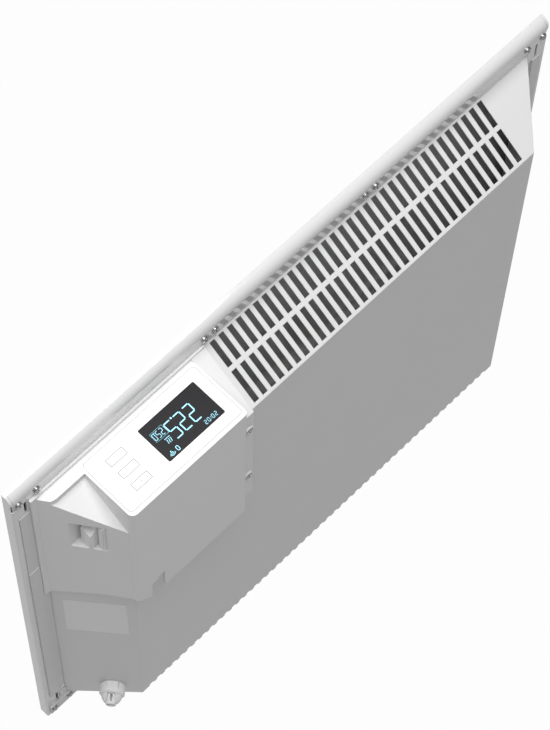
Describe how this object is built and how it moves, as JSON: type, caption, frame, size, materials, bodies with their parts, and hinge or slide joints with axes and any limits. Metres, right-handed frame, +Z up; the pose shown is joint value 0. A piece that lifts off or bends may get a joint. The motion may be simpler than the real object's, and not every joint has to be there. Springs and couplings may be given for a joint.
{
  "type": "wall panel convector heater",
  "caption": "Slim flat wall heater: folded front panel, slanted back casing with slotted vents, control pod with display and push buttons, power rocker and cable gland.",
  "frame": {"origin": "centre of the flat back of the casing, where a wall bracket seats, at half the panel's height", "axes": "+X to the end with the control pod, +Y to the wall, +Z up"},
  "size_m": [0.46, 0.0578, 0.4],
  "materials": {
    "panel_paint": "gloss powder coat",
    "casing_paint": "satin powder coat",
    "pod_plastic": "fine satin moulding",
    "fascia_plastic": "smooth satin film",
    "screen": "dark gloss",
    "display_dark": "gloss",
    "zinc_screw": "zinc plated",
    "board_green": "solder mask",
    "black_plastic": "satin",
    "radio_can": "tinned",
    "coil_tape": "polyester tape",
    "capacitor_sleeve": "shrink sleeve",
    "switch_plastic": "satin gloss",
    "gland_nylon": "satin nylon",
    "fin_aluminium": "mill finish",
    "galvanised": "galvanised",
    "bush_ceramic": "fired",
    "terminal_ivory": "moulded",
    "brass": "plain",
    "lead_brown": "silicone",
    "lead_grey": "silicone",
    "label_film": "satin film"
  },
  "bodies": {
    "heater": {"front_panel": "panel_paint", "back_casing": "casing_paint", "side_strips": "casing_paint", "corner_plates": "casing_paint", "control_housing": "pod_plastic", "control_base": "pod_plastic", "control_fascia": "fascia_plastic", "display_window": "screen", "display_module": "display_dark", "panel_screws": "zinc_screw", "housing_screws": "zinc_screw", "board_screws": "zinc_screw", "control_board": "board_green", "power_board": "board_green", "button_switches": "black_plastic", "relay": "black_plastic", "thermal_cutout": "black_plastic", "room_sensor": "black_plastic", "board_link": "black_plastic", "radio_module": "radio_can", "transformer": "coil_tape", "capacitor": "capacitor_sleeve", "switch_body": "switch_plastic", "gland_body": "gland_nylon", "gland_nut": "gland_nylon", "gland_claw": "gland_nylon", "gland_sleeve": "gland_nylon", "gland_locknut": "gland_nylon", "heating_element": "fin_aluminium", "heat_shield": "fin_aluminium", "element_brackets": "galvanised", "element_terminals": "galvanised", "ceramic_bushes": "bush_ceramic", "terminal_block": "terminal_ivory", "earth_stud": "brass", "supply_leads": "lead_brown", "element_leads": "lead_brown", "sensor_lead": "lead_grey", "rating_label": "label_film"},
    "button_minus": {"button_minus": "fascia_plastic"},
    "button_menu": {"button_menu": "fascia_plastic"},
    "button_plus": {"button_plus": "fascia_plastic"},
    "power_rocker": {"power_rocker": "switch_plastic"}
  },
  "joints": [
    {"name": "button_minus_press", "type": "slide", "parent": "heater", "child": "button_minus", "axis": [0, 0, -1], "range_m": [0, 0.0006], "stiffness_N_per_m": 1500, "springref_m": -0.0003},
    {"name": "button_menu_press", "type": "slide", "parent": "heater", "child": "button_menu", "axis": [0, 0, -1], "range_m": [0, 0.0006], "stiffness_N_per_m": 1500, "springref_m": -0.0003},
    {"name": "button_plus_press", "type": "slide", "parent": "heater", "child": "button_plus", "axis": [0, 0, -1], "range_m": [0, 0.0006], "stiffness_N_per_m": 1500, "springref_m": -0.0003},
    {"name": "power_rocker_tilt", "type": "hinge", "parent": "heater", "child": "power_rocker", "pos_m": [0.1854, -0.0187, 0.1333], "axis": [0, 1, 0], "range_deg": [0, 8]}
  ]
}
